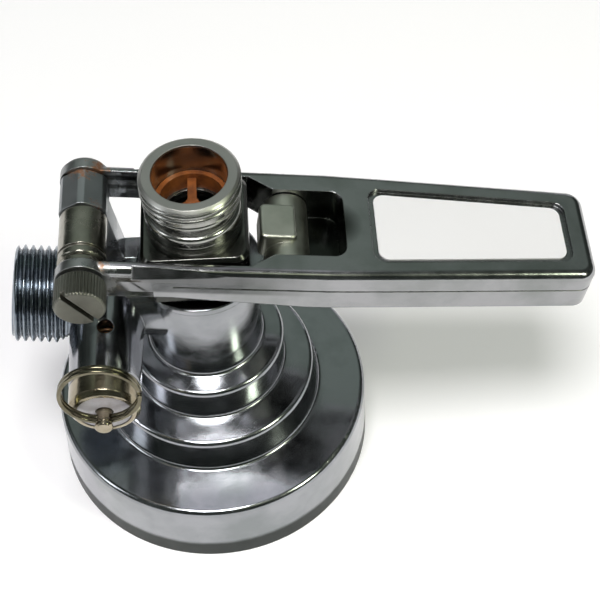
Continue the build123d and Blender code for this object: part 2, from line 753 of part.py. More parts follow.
def make_relief_pull_pin():
    """Pull pin screwed into the poppet, cross-drilled for the ring and necked behind its head."""
    foot = poppet_base() + 1
    head = pull_pin_end - pull_head_length
    neck = head - pull_neck_length
    points = [(0, foot), (pull_pin_r, foot), (pull_pin_r, neck), (pull_neck_r, neck), (pull_neck_r, head),
              (pull_head_r, head), (pull_head_r, pull_pin_end - 0.3), (pull_head_r - 0.3, pull_pin_end),
              (0, pull_pin_end)]
    hole = Pos(0, 0, pull_hole_s) * Rot(0, 90, 0) * rod(pull_hole_r, -2 * pull_head_r, 2 * pull_head_r)
    return relief_frame * (turned(points) - hole)


def make_relief_pull_ring():
    """Split ring of two turns side by side, standing up from the pin's cross hole."""
    half = pull_ring_wire / 2
    shift = half + pull_ring_gap / 2
    section = Plane.XZ * (Pos(pull_ring_r, 0) * RectangleRounded(pull_ring_wire, pull_ring_wire, 0.3))
    turn = revolve(section, axis=Axis.Z, revolution_arc=360 - pull_ring_split)
    rear = Pos(0, 0, -shift) * turn
    front = Pos(0, 0, shift) * Rot(0, 0, pull_ring_split) * turn
    link = loft([Pos(0, 0, -shift) * Rot(0, 0, -pull_ring_split) * section,
                 Pos(0, 0, shift) * Rot(0, 0, pull_ring_split) * section])
    stand = Pos(0, 0, pull_hole_s) * Rot(-pull_ring_lean, 0, 0) * Pos(0, pull_ring_r, 0)
    return relief_frame * stand * (rear + link + front)


def make_relief_spring():
    """Coil between the poppet and the cap's spigot."""
    low = poppet_base() + poppet_thickness + seat_gap
    high = relief_mouth + seat_gap - cap_spigot - seat_gap
    return relief_frame * Pos(0, 0, low) * coil(relief_coil_r, relief_wire_r, high - low, relief_turns)


def make_all():
    """Every node by name."""
    return {
        "coupler_body": make_body(),
        "tower_bush": make_tower_bush(),
        "tower_o_ring": make_tower_o_ring(),
        "bush_retainer": make_bush_retainer(),
        "keg_seal": make_keg_seal(),
        "gas_inlet_nipple": make_inlet_nipple(),
        "gas_check_valve": make_gas_check_valve(),
        "gas_inlet_washer": make_inlet_washer(),
        "relief_cap": make_relief_cap(),
        "relief_disc": make_relief_disc(),
        "relief_seal": make_relief_seal(),
        "relief_poppet": make_relief_poppet(),
        "relief_pull_pin": make_relief_pull_pin(),
        "relief_pull_ring": make_relief_pull_ring(),
        "relief_spring": make_relief_spring(),
        "probe": make_probe(),
        "probe_seal": make_probe_seal(),
        "outlet_insert": make_outlet_insert(),
        "check_ball": make_check_ball(),
        "lever": make_lever(),
        "label_plate": make_label_plate(),
        "lever_pins": make_lever_pins(),
        "hinge_screw": make_hinge_screw(),
        "hinge_sleeve": make_hinge_sleeve(),
        "hinge_front_washer": make_front_washer(),
        "hinge_rear_washer": make_rear_washer(),
        "thumb_latch": make_thumb_latch(),
        "latch_pin": make_latch_pin(),
        "latch_spring": make_latch_spring(),
    }


os.makedirs("parts", exist_ok=True)
for name, shape in make_all().items():
    export_step(shape, f"parts/{name}.step")
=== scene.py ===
# Lever keg coupler dressed for rendering. The scene is in metres; sizes here are in millimetres.
import bpy
from math import cos, pi, radians, sin
from mathutils import Matrix, Vector


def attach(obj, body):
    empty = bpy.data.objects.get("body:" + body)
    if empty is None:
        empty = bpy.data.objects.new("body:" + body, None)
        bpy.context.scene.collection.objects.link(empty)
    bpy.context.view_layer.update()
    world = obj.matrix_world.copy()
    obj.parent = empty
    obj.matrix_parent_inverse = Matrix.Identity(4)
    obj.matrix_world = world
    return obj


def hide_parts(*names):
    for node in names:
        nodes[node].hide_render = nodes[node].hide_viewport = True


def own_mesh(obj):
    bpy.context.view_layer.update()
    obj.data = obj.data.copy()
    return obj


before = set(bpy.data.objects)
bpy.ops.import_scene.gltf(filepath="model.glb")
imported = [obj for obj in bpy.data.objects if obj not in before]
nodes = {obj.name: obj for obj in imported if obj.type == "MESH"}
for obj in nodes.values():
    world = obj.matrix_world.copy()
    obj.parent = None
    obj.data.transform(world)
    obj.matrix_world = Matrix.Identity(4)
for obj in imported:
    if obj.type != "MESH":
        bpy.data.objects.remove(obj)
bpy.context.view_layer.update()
mm = 0.001

# Camera, fitted to the photograph's 600 by 600 frame
photo_width = 600
sensor_width = 36.0
camera_place = (15.56, -205.17, 326.26)
camera_yaw = 1.756
camera_pitch = 53.383
camera_roll = -1.521
camera_focal_px = 1417.7
camera_centre_px = (294.2, 304.99)

# Sizes shared with the CAD model
valve_z = 58.5
inlet_x = -30.0
inlet_tilt = 8.9
inlet_length = 14.2
inlet_collar_r = 9.7
inlet_collar_height = 1.4
inlet_spigot_r = 6.9
inlet_spigot_length = 7.0
inlet_bore_r = 4.9
inlet_counterbore_r = 7.6
inlet_counterbore_depth = 9.0
inlet_thread_r = 11.45
inlet_thread_depth = 1.16
inlet_pitch = 1.814
pivot_x = -24.87
pivot_z = 82.97
lever_tilt = 7.6
arm_outer = 15.6
screw_head_r = 5.7
screw_head_length = 6.6
screw_neck_r = 4.2
screw_neck_length = 0.6
screw_slot_width = 1.3
screw_slot_depth = 1.5
screw_slot_angle = 48.0
screw_knurls = 46
knurl_depth = 0.32
hinge_r = 3.0
hinge_thread_r = 2.4
arm_inner = 13.1

# Outlet thread
outlet_thread_root = 10.65
outlet_thread_crest = 11.28
outlet_thread_low = 94.35
outlet_thread_high = 97.75
outlet_thread_pitch = 1.7
outlet_thread_half = 0.62

# Relief coil, between the poppet and the cap's spigot
relief_x = -22.2
coil_low = 13.09
coil_high = 19.93
coil_r = 4.4
coil_wire = 0.45
coil_turns = 5

# Studio
floor_half_width = 2500
floor_glow = 0.20
floor_near = 190
floor_far = 900
sky_level = 0.15
canopy_radius = 1100
canopy_low = 3.0
canopy_dark = (0.028, 0.034, 0.030)
canopy_pale = (0.10, 0.115, 0.10)
# Pale panels on the canopy: azimuth from the front, elevation, inner and outer half angle, colour
canopy_panels = [(180, 50, 8, 42, (0.29, 0.345, 0.305)), (-84, 36, 6, 24, (0.34, 0.36, 0.37)),
                 (176, 78, 2, 20, (1.0, 1.0, 1.06)), (24, 60, 2, 9, (1.0, 1.1, 0.75)),
                 (150, 18, 2, 8, (0.9, 0.92, 0.95)), (180, 18, 2, 8, (0.9, 0.92, 0.95)),
                 (210, 18, 2, 8, (0.9, 0.92, 0.95))]
lamp_target = (10, 0, 45)

# Where the arms' outer slope, with painted shade on its upper part, and the painted shade of their
# inner grooves begin and end along the lever
slope_start = (-17.5, -9.5)
slope_end = (10, 26)
slope_lean = 1.5
slope_shade = 0.6
groove_end = (12, 14)
groove_blur = 0.35
groove_shade = 0.8

# Colours that several looks share
rust_stain = (0.34, 0.14, 0.05)
washer_steel = (0.30, 0.27, 0.24)

inlet_turn = Matrix.Rotation(radians(inlet_tilt - 90), 4, "Y")
inlet_frame = Matrix.Translation((inlet_x, 0, valve_z)) @ inlet_turn
lever_turn = Matrix.Rotation(radians(lever_tilt), 4, "Y")
lever_frame = Matrix.Translation((pivot_x, 0, pivot_z)) @ lever_turn
along_minus_y = Matrix.Rotation(radians(90), 4, "X")


def show(name, data):
    """Object in the scene that holds the data."""
    item = bpy.data.objects.new(name, data)
    bpy.context.scene.collection.objects.link(item)
    return item


def mesh_piece(name, points, faces, place=None):
    """Mesh object from points in millimetres, in the model's frame."""
    place = place or Matrix.Identity(4)
    mesh = bpy.data.meshes.new(name)
    mesh.from_pydata([(place @ Vector(p)) * mm for p in points], [], faces)
    mesh.polygons.foreach_set("use_smooth", [True] * len(mesh.polygons))
    mesh.update()
    return show(name, mesh)


def lathe(name, profile, segments, place, field=None):
    """Closed solid of revolution about local Z; field(radius, z, angle) shapes each radius."""
    rows = len(profile)
    points = []
    for j in range(segments):
        angle = 2 * pi * j / segments
        for r, z in profile:
            shaped = field(r, z, angle) if field else r
            points.append((shaped * cos(angle), shaped * sin(angle), z))
    faces = []
    for j in range(segments):
        k = (j + 1) % segments
        for i in range(rows):
            n = (i + 1) % rows
            faces.append((j * rows + i, k * rows + i, k * rows + n, j * rows + n))
    return mesh_piece(name, points, faces, place)


def skin(rings, sides):
    """Faces of a tube through rings + 1 rings of sides points each, with a cap on each end."""
    faces = []
    for j in range(rings):
        for i in range(sides):
            n = (i + 1) % sides
            faces.append((j * sides + i, (j + 1) * sides + i, (j + 1) * sides + n, j * sides + n))
    faces.append(tuple(reversed(range(sides))))
    faces.append(tuple(rings * sides + i for i in range(sides)))
    return faces


def steps(start, end, count):
    """Evenly spaced values from start towards end, without the end."""
    return [start + (end - start) * i / count for i in range(count)]


def smooth_step(low, high, value):
    """0 below low, 1 above high, with a soft change between."""
    t = min(1.0, max(0.0, (value - low) / (high - low)))
    return t * t * (3 - 2 * t)


def crease(piece, degrees=32.0):
    """Keep edges sharper than this angle crisp in the shading."""
    modifier = piece.modifiers.new("crisp_edges", "EDGE_SPLIT")
    modifier.split_angle = radians(degrees)
    modifier.use_edge_sharp = False


def cut(piece, cutter):
    """Subtract the cutter's mesh from the piece for good."""
    modifier = piece.modifiers.new("cut", "BOOLEAN")
    modifier.operation = "DIFFERENCE"
    modifier.solver = "EXACT"
    modifier.object = cutter
    depsgraph = bpy.context.evaluated_depsgraph_get()
    mesh = bpy.data.meshes.new_from_object(piece.evaluated_get(depsgraph))
    piece.modifiers.clear()
    old = piece.data
    piece.data = mesh
    bpy.data.meshes.remove(old)
    bpy.data.objects.remove(cutter)


def box_cutter(size, place):
    """Box for cutting, centred on the place."""
    hx, hy, hz = (s / 2 for s in size)
    points = [(x, y, z) for x in (-hx, hx) for y in (-hy, hy) for z in (-hz, hz)]
    faces = [(0, 1, 3, 2), (4, 6, 7, 5), (0, 4, 5, 1), (2, 3, 7, 6), (0, 2, 6, 4), (1, 5, 7, 3)]
    return mesh_piece("cutter", points, faces, place)


class Graph:
    """A node tree being put together."""

    def __init__(self, tree):
        self.tree = tree

    def add(self, kind, **settings):
        """New node with its settings."""
        node = self.tree.nodes.new(kind)
        for key, value in settings.items():
            setattr(node, key, value)
        return node

    def join(self, output, socket):
        """Link an output to a socket."""
        self.tree.links.new(output, socket)

    def put(self, value, socket):
        """Set a socket from a number, a colour or another node's output."""
        if isinstance(value, bpy.types.NodeSocket):
            self.join(value, socket)
        else:
            socket.default_value = value

    def span(self, value, low, high, to_low=0.0, to_high=1.0, kind="LINEAR"):
        """Map low..high to to_low..to_high, clamped."""
        node = self.add("ShaderNodeMapRange", interpolation_type=kind)
        node.inputs["From Min"].default_value = low
        node.inputs["From Max"].default_value = high
        node.inputs["To Min"].default_value = to_low
        node.inputs["To Max"].default_value = to_high
        self.join(value, node.inputs["Value"])
        return node.outputs["Result"]

    def calc(self, a, b, kind="ADD"):
        """Two values put together, as a sum unless kind says otherwise."""
        node = self.add("ShaderNodeMath", operation=kind)
        self.put(a, node.inputs[0])
        self.put(b, node.inputs[1])
        return node.outputs[0]

    def blend(self, amount, a, b):
        """Colour a where amount is 0 and b where it is 1."""
        node = self.add("ShaderNodeMix", data_type="RGBA")
        self.put(amount, node.inputs["Factor"])
        self.put(a if isinstance(a, bpy.types.NodeSocket) else (*a, 1), node.inputs[6])
        self.put(b if isinstance(b, bpy.types.NodeSocket) else (*b, 1), node.inputs[7])
        return node.outputs[2]

    def seen_directly(self):
        """1 for camera, glossy and transmission rays, 0 for the rest."""
        path = self.add("ShaderNodeLightPath")
        first = self.calc(path.outputs["Is Camera Ray"], path.outputs["Is Glossy Ray"], "MAXIMUM")
        return self.calc(first, path.outputs["Is Transmission Ray"], "MAXIMUM")


class Finish(Graph):
    """A material with its pattern space in millimetres."""

    def __init__(self, name, colour, roughness, metallic=0.0):
        self.material = bpy.data.materials.new(name)
        self.material.use_nodes = True
        super().__init__(self.material.node_tree)
        self.shader = self.tree.nodes["Principled BSDF"]
        self.shader.inputs["Base Color"].default_value = (*colour, 1)
        self.shader.inputs["Roughness"].default_value = roughness
        self.shader.inputs["Metallic"].default_value = metallic
        coords = self.add("ShaderNodeTexCoord")
        scaled = self.add("ShaderNodeMapping")
        scaled.inputs["Scale"].default_value = (1 / mm, 1 / mm, 1 / mm)
        self.join(coords.outputs["Object"], scaled.inputs["Vector"])
        self.space = scaled.outputs["Vector"]
        self.normal = None

    def stretched(self, scale):
        """Pattern space scaled apart along its axes."""
        node = self.add("ShaderNodeMapping")
        node.inputs["Scale"].default_value = scale
        self.join(self.space, node.inputs["Vector"])
        return node.outputs["Vector"]

    def noise(self, size, detail=3.0, rough=0.55, space=None):
        """Noise whose features are about size millimetres wide."""
        node = self.add("ShaderNodeTexNoise")
        node.inputs["Scale"].default_value = 1 / size
        node.inputs["Detail"].default_value = detail
        node.inputs["Roughness"].default_value = rough
        self.join(space or self.space, node.inputs["Vector"])
        return node.outputs["Fac"]

    def height(self):
        """Height above the floor in millimetres, in the rest pose."""
        node = self.add("ShaderNodeSeparateXYZ")
        self.join(self.space, node.inputs[0])
        return node.outputs["Z"]

    def near(self, centre):
        """Distance from a point, in millimetres."""
        node = self.add("ShaderNodeVectorMath", operation="DISTANCE")
        self.join(self.space, node.inputs[0])
        node.inputs[1].default_value = centre
        return node.outputs["Value"]

    def along(self, direction, start):
        """Distance past a plane, in millimetres."""
        node = self.add("ShaderNodeVectorMath", operation="DOT_PRODUCT")
        self.join(self.space, node.inputs[0])
        node.inputs[1].default_value = direction
        return self.calc(node.outputs["Value"], start, "SUBTRACT")

    def level(self):
        """Height above the lever's pivot, square to the handle's top."""
        a = radians(lever_tilt)
        return self.along((sin(a), 0, cos(a)), pivot_x * sin(a) + pivot_z * cos(a))

    def outside(self):
        """1 on the arms' outer faces, fading out at the hinge and at the handle."""
        parts = self.add("ShaderNodeSeparateXYZ")
        self.join(self.space, parts.inputs[0])
        side = self.calc(parts.outputs["Y"], 0.0, "ABSOLUTE")
        outer = self.span(side, arm_outer - 2.2, arm_outer - 2.0)
        start = self.span(parts.outputs["X"], *slope_start)
        end = self.span(parts.outputs["X"], *slope_end, 1.0, 0.0)
        return self.calc(self.calc(start, end, "MULTIPLY"), outer, "MULTIPLY")

    def flank(self, low, high):
        """Height field that leans the arms' outer faces back between two levels."""
        ramp = self.span(self.level(), low, high, 1.0, 0.0)
        return self.calc(ramp, self.outside(), "MULTIPLY")

    def painted_groove_shade(self, levels):
        """Painted shade of the grooves on the arms' inner faces: 1 in bands at the given levels."""
        level = self.level()
        grooves = None
        for low, high in levels:
            rise = self.span(level, low, low + groove_blur)
            fall = self.span(level, high - groove_blur, high, 1.0, 0.0)
            band = self.calc(rise, fall, "MULTIPLY")
            grooves = self.calc(grooves, band) if grooves else band
        across = self.add("ShaderNodeSeparateXYZ")
        self.join(self.space, across.inputs[0])
        side = self.calc(across.outputs["Y"], 0.0, "ABSOLUTE")
        inner = self.span(side, arm_inner + 0.05, arm_inner + 0.1, 1.0, 0.0)
        slim = self.span(across.outputs["X"], *groove_end, 1.0, 0.0)
        shown = self.calc(self.calc(grooves, inner, "MULTIPLY"), slim, "MULTIPLY")
        return self.calc(shown, groove_shade, "MULTIPLY")

    def hollows(self, reach):
        """1 in tight corners within reach millimetres, 0 on open faces."""
        node = self.add("ShaderNodeAmbientOcclusion", samples=16)
        node.inputs["Distance"].default_value = reach * mm
        return self.span(node.outputs["AO"], 0.25, 0.95, 1.0, 0.0)

    def round_edges(self, radius):
        """Shade sharp edges as if rounded by this many millimetres."""
        node = self.add("ShaderNodeBevel", samples=6)
        node.inputs["Radius"].default_value = radius * mm
        self.normal = node.outputs["Normal"]

    def bump(self, height, depth):
        """Raise the surface by up to depth millimetres."""
        node = self.add("ShaderNodeBump")
        node.inputs["Distance"].default_value = depth * mm
        node.inputs["Strength"].default_value = 1.0
        self.join(height, node.inputs["Height"])
        if self.normal:
            self.join(self.normal, node.inputs["Normal"])
        self.normal = node.outputs["Normal"]
        self.join(self.normal, self.shader.inputs["Normal"])

    def paint(self, colour):
        """Link the base colour."""
        self.join(colour, self.shader.inputs["Base Color"])

    def gloss(self, roughness):
        """Link the roughness."""
        self.join(roughness, self.shader.inputs["Roughness"])


def plated(name, bright, dull, grime_and_shade_colour, polish, worn, pits=0.012, wave=0.03, grime_and_shade_reach=3.0,
           grime_and_shade_share=0.8, foot_shade_height=None, rubbed=(), stains=(), groove_shade_levels=None, pocket_shade=None, lean=None,
           peel=0.0015):
    """Plated cast metal: patches, grime and painted shade in corners, painted shade at its foot, in
    the window pocket, in the arms' grooves and on their upper flanks, rubbed spots and rust.
    """
    finish = Finish(name, bright, polish, metallic=1.0)
    finish.round_edges(0.35)
    patches = finish.span(finish.noise(14, 4), 0.42, 0.68)
    specks = finish.span(finish.noise(1.1, 5, 0.7), 0.56, 0.72)
    base = finish.blend(patches, bright, dull)
    broken = finish.span(finish.noise(2.4, 5, 0.7), 0.3, 0.7, 0.35, 1.0)
    # Grime and painted shade: tight corners darken towards the grime-and-shade colour.
    grime_and_shade = finish.calc(finish.hollows(grime_and_shade_reach), broken, "MULTIPLY")
    grime_and_shade = finish.calc(grime_and_shade, grime_and_shade_share, "MULTIPLY")
    # Painted shade: darker towards the casting's foot, below the given height.
    if foot_shade_height:
        uneven = finish.span(finish.noise(9, 2), 0.3, 0.7, -0.2, 0.2)
        ragged = finish.calc(finish.height(), uneven)
        grime_and_shade = finish.calc(grime_and_shade, finish.span(ragged, foot_shade_height - 1.6, foot_shade_height, 0.93, 0.0), "MAXIMUM")
    base = finish.blend(finish.calc(specks, 0.25, "MULTIPLY"), base, dull)
    shine = finish.calc(finish.span(finish.noise(5, 5, 0.65), 0.3, 0.75, polish, worn),
                        finish.calc(grime_and_shade, 0.3, "MULTIPLY"))
    for centre, radius in rubbed:
        uneven = finish.span(finish.noise(2.5, 5, 0.7), 0.3, 0.7, -3, 3)
        near = finish.calc(finish.near(centre), uneven)
        wear = finish.span(near, radius - 2, radius + 2, 0.85, 0.0)
        base = finish.blend(wear, base, [1.25 * part for part in dull])
        shine = finish.calc(shine, finish.calc(wear, 0.30, "MULTIPLY"))
    for centre, radius in stains:
        uneven = finish.span(finish.noise(1.2, 5, 0.7), 0.3, 0.7, -2, 2)
        ragged = finish.calc(finish.near(centre), uneven)
        rust = finish.span(ragged, radius - 1.2, radius + 0.6, 0.8, 0.0)
        base = finish.blend(rust, base, rust_stain)
        shine = finish.calc(shine, finish.calc(rust, 0.35, "MULTIPLY"))
    # Painted shade: dark bands in the arms' inner grooves.
    if groove_shade_levels:
        base = finish.blend(finish.painted_groove_shade(groove_shade_levels), base, grime_and_shade_colour)
    # Painted shade: a dark patch in the lever's window pocket.
    if pocket_shade:
        centre, radius = pocket_shade
        dark = finish.span(finish.near(centre), radius - 2, radius, 0.97, 0.0)
        base = finish.blend(dark, base, grime_and_shade_colour)
    if lean:
        # Painted shade: the upper part of the arms' outer flanks darkens, besides the lean in the
        # bump.
        upper_flank_shade = finish.span(finish.level(), lean[0] - 0.4, lean[0] + 0.4, 0.0, slope_shade)
        base = finish.blend(finish.calc(upper_flank_shade, finish.outside(), "MULTIPLY"), base, grime_and_shade_colour)
    finish.paint(finish.blend(grime_and_shade, base, grime_and_shade_colour))
    finish.gloss(shine)
    if lean:
        finish.bump(finish.flank(*lean), slope_lean)
    finish.bump(finish.noise(11, 2, 0.4), wave)
    finish.bump(finish.noise(4, 2, 0.4), wave * 0.25)
    if peel:
        finish.bump(finish.noise(1.7, 2, 0.5), peel)
    if pits:
        finish.bump(finish.noise(0.9, 4, 0.6), pits)
    return finish.material


def turned_metal(name, bright, dull, grime_and_shade_colour, polish, worn, axis, shade_below=None, matt_above=None):
    """Turned metal with fine tool lines, grime and painted shade in corners, painted shade below a
    height and rubbed matt above another.
    """
    finish = Finish(name, bright, polish, metallic=1.0)
    finish.round_edges(0.25)
    scale = [0.08, 0.08, 0.08]
    scale[axis] = 3.2
    tool = finish.noise(1, 3, 0.6, space=finish.stretched(scale))
    patches = finish.span(finish.noise(6, 5, 0.6), 0.4, 0.7)
    broken = finish.span(finish.noise(1.5, 5, 0.7), 0.3, 0.7, 0.3, 1.0)
    # Grime and painted shade: tight corners darken towards the grime-and-shade colour.
    grime_and_shade = finish.calc(finish.hollows(1.6), broken, "MULTIPLY")
    base = finish.blend(patches, bright, dull)
    # Painted shade: darker below the given height, on the outlet's neck.
    if shade_below:
        shade_colour_below = [0.3 * part for part in dull]
        low = finish.span(finish.height(), shade_below, shade_below + 0.3, 1, 0)
        base = finish.blend(low, base, shade_colour_below)
    shine = finish.calc(finish.span(tool, 0.3, 0.7, polish, worn),
                        finish.calc(grime_and_shade, 0.3, "MULTIPLY"))
    if matt_above:
        matt = finish.span(finish.height(), matt_above, matt_above + 0.5)
        shine = finish.calc(shine, finish.calc(matt, 0.24, "MULTIPLY"))
        base = finish.blend(matt, base, [0.92 * part for part in bright])
    finish.paint(finish.blend(grime_and_shade, base, grime_and_shade_colour))
    finish.gloss(shine)
    finish.bump(tool, 0.004)
    finish.bump(finish.noise(0.7, 4, 0.6), 0.006)
    return finish.material


def soft_plastic(name, colour, shade, roughness):
    """Moulded plastic or rubber with a faint grain and stains."""
    finish = Finish(name, colour, roughness)
    stains = finish.span(finish.noise(3.5, 5, 0.65), 0.38, 0.7)
    finish.paint(finish.blend(stains, colour, shade))
    high = min(1.0, roughness * 1.25)
    finish.gloss(finish.span(finish.noise(1.4, 4), 0.3, 0.7, roughness * 0.8, high))
    finish.bump(finish.noise(0.5, 4, 0.6), 0.01)
    return finish.material


def rusty_metal(name):
    """Thin steel washer gone orange and brown."""
    finish = Finish(name, washer_steel, 0.5, metallic=0.6)
    rust = finish.span(finish.noise(1.3, 6, 0.7), 0.36, 0.6)
    deep = finish.span(finish.noise(0.6, 5, 0.7), 0.45, 0.7)
    coat = finish.blend(deep, (0.52, 0.20, 0.06), (0.20, 0.075, 0.035))
    finish.paint(finish.blend(rust, washer_steel, coat))
    finish.gloss(finish.span(rust, 0, 1, 0.4, 0.85))
    finish.bump(finish.noise(0.5, 5, 0.7), 0.06)
    return finish.material


def label_sheet(name):
    """Glossy white label stock with faint dents, dust and a shaded rim."""
    white = (0.79, 0.78, 0.81)
    finish = Finish(name, white, 0.28)
    dust = finish.span(finish.noise(0.35, 3, 0.7), 0.66, 0.8)
    cloud = finish.span(finish.noise(30, 1), 0.2, 0.8)
    tone = finish.blend(cloud, white, (0.78, 0.768, 0.795))
    tone = finish.blend(finish.calc(dust, 0.2, "MULTIPLY"), tone, (0.50, 0.48, 0.47))
    shaded = finish.calc(finish.hollows(1.0), 0.5, "MULTIPLY")
    finish.paint(finish.blend(shaded, tone, (0.35, 0.34, 0.36)))
    finish.gloss(finish.span(finish.noise(7, 2), 0.2, 0.8, 0.30, 0.36))
    finish.bump(finish.noise(14, 1, 0.4), 0.015)
    finish.bump(finish.noise(0.5, 3), 0.002)
    return finish.material


# Each metal: name, bright, dull and grime-and-shade colours, roughness polished and worn. Turned
# metals add the axis of their tool lines. Rubbed spots, stains and the painted shade of the window
# pocket are centres with radii, in the model's frame; the painted groove shade and the lean are
# levels above the lever's pivot.
materials = {
    "chrome_casting": plated("chrome_casting_look", (0.345, 0.35, 0.375), (0.25, 0.265, 0.275),
                             (0.022, 0.026, 0.023), 0.10, 0.22, pits=0.0, wave=0.09, foot_shade_height=6.3,
                             peel=0.0, grime_and_shade_share=0.65, rubbed=[((-24.9, 7.5, 83), 11)],
                             stains=[((-24.9, 12.6, 87.6), 2.3), ((-22.0, 2.0, 87.0), 1.2)]),
    "chrome_lever": plated("chrome_lever_look", (0.355, 0.355, 0.37), (0.26, 0.27, 0.27),
                           (0.024, 0.027, 0.023), 0.09, 0.24, pits=0.006, wave=0.09,
                           groove_shade_levels=((1.6, 3.4), (-1.4, 0.4)), pocket_shade=((30, 0, 71), 11.5),
                           rubbed=[((-24.9, 15.5, 83), 7.5), ((-24.9, -14.5, 83), 6.5)],
                           lean=(-2.4, 0.9), peel=0.010,
                           stains=[((-21.5, 13.6, 87.2), 2.0), ((-19.5, -13.6, 85.5), 1.0)]),
    "dark_chrome": turned_metal("dark_chrome_look", (0.27, 0.305, 0.35), (0.14, 0.165, 0.195),
                                (0.014, 0.02, 0.026), 0.08, 0.18, 2),
    "outlet_steel": turned_metal("outlet_steel_look", (0.38, 0.38, 0.36), (0.20, 0.205, 0.19),
                                 (0.018, 0.02, 0.014),
                                 0.12, 0.25, 2, shade_below=84.3, matt_above=98.3),
    "warm_nickel": turned_metal("warm_nickel_look", (0.40, 0.35, 0.265), (0.24, 0.205, 0.14),
                                (0.03, 0.026, 0.015), 0.14, 0.28, 1),
    "ring_nickel": turned_metal("ring_nickel_look", (0.21, 0.19, 0.135), (0.10, 0.09, 0.06),
                                (0.012, 0.011, 0.007), 0.10, 0.20, 1),
    "worn_nickel": plated("worn_nickel_look", (0.42, 0.405, 0.36), (0.22, 0.21, 0.175),
                          (0.03, 0.026, 0.018), 0.16, 0.34, pits=0.02, grime_and_shade_reach=2.0),
    "latch_chrome": plated("latch_chrome_look", (0.52, 0.53, 0.47), (0.40, 0.41, 0.355),
                           (0.04, 0.038, 0.025), 0.30, 0.46, pits=0.012, grime_and_shade_reach=1.2),
    "dull_screw": plated("dull_screw_look", (0.20, 0.20, 0.175), (0.12, 0.12, 0.10),
                         (0.022, 0.02, 0.014), 0.26, 0.42, pits=0.02, grime_and_shade_reach=0.6),
    "rusty_steel": rusty_metal("rusty_steel_look"),
    "plain_steel": turned_metal("plain_steel_look", (0.52, 0.52, 0.52), (0.36, 0.36, 0.35),
                                (0.05, 0.05, 0.05), 0.18, 0.32, 1),
    "copper_wire": turned_metal("copper_wire_look", (0.62, 0.36, 0.22), (0.40, 0.22, 0.13),
                                (0.06, 0.03, 0.02), 0.22, 0.40, 0),
    "amber_plastic": soft_plastic("amber_plastic_look", (0.27, 0.082, 0.02),
                                  (0.10, 0.032, 0.012), 0.2),
    "white_plastic": soft_plastic("white_plastic_look", (0.75, 0.74, 0.70),
                                  (0.60, 0.58, 0.52), 0.4),
    "black_rubber": soft_plastic("black_rubber_look", (0.025, 0.025, 0.027),
                                 (0.05, 0.05, 0.05), 0.55),
    "valve_rubber": soft_plastic("valve_rubber_look", (0.05, 0.05, 0.055), (0.09, 0.09, 0.09), 0.5),
    "disc_paint": soft_plastic("disc_paint_look", (0.58, 0.56, 0.61), (0.46, 0.42, 0.44), 0.35),
    "label_white": label_sheet("label_white_look"),
}

# Nodes whose look differs from the rest of their material slot
own_looks = {"relief_pull_ring": "ring_nickel", "thumb_latch": "latch_chrome"}


def dress_nodes():
    """Give each CAD node the look of its own material slot, or its own look."""
    for node in nodes.values():
        for place in node.material_slots:
            if place.material and place.material.name in materials:
                place.material = materials[place.material.name]
    for name, look in own_looks.items():
        for place in nodes[name].material_slots:
            place.material = materials[look]


def finish_piece(piece, body, slot, replaced=None):
    """Put a new piece on its body with its look, in place of a CAD node where one is named."""
    piece.data.materials.clear()
    piece.data.materials.append(materials[slot])
    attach(piece, body)
    if replaced:
        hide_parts(replaced)


def make_nipple():
    """Gas inlet nipple with its rounded helical thread."""
    start = inlet_collar_height + 0.6
    rows = 84
    root = inlet_thread_r - inlet_thread_depth
    profile = [(inlet_bore_r, -inlet_spigot_length), (inlet_spigot_r, -inlet_spigot_length),
               (inlet_spigot_r, 0), (inlet_collar_r, 0.03), (inlet_collar_r, inlet_collar_height),
               (root - 0.25, inlet_collar_height), (root - 0.25, start)]
    profile += [(inlet_thread_r, z) for z in steps(start + 0.1, inlet_length - 0.02, rows)]
    profile += [(root - 0.1, inlet_length), (inlet_counterbore_r + 0.35, inlet_length),
                (inlet_counterbore_r, inlet_length - 0.35),
                (inlet_counterbore_r, inlet_length - inlet_counterbore_depth),
                (inlet_bore_r, inlet_length - inlet_counterbore_depth)]

    def thread(r, z, angle):
        if r < inlet_thread_r:
            return r
        phase = (z / inlet_pitch - angle / (2 * pi)) % 1
        ridge = smooth_step(0.12, 0.88, 1 - abs(2 * phase - 1))
        run_in = smooth_step(start, start + 0.8, z)
        bevel = inlet_length + root - 0.1 - z
        return min(root + inlet_thread_depth * ridge * run_in, bevel + 0.4)

    piece = lathe("gas_inlet_nipple_threaded", profile, 192, inlet_frame, thread)
    crease(piece, 50)
    finish_piece(piece, "coupler", "dark_chrome", "gas_inlet_nipple")


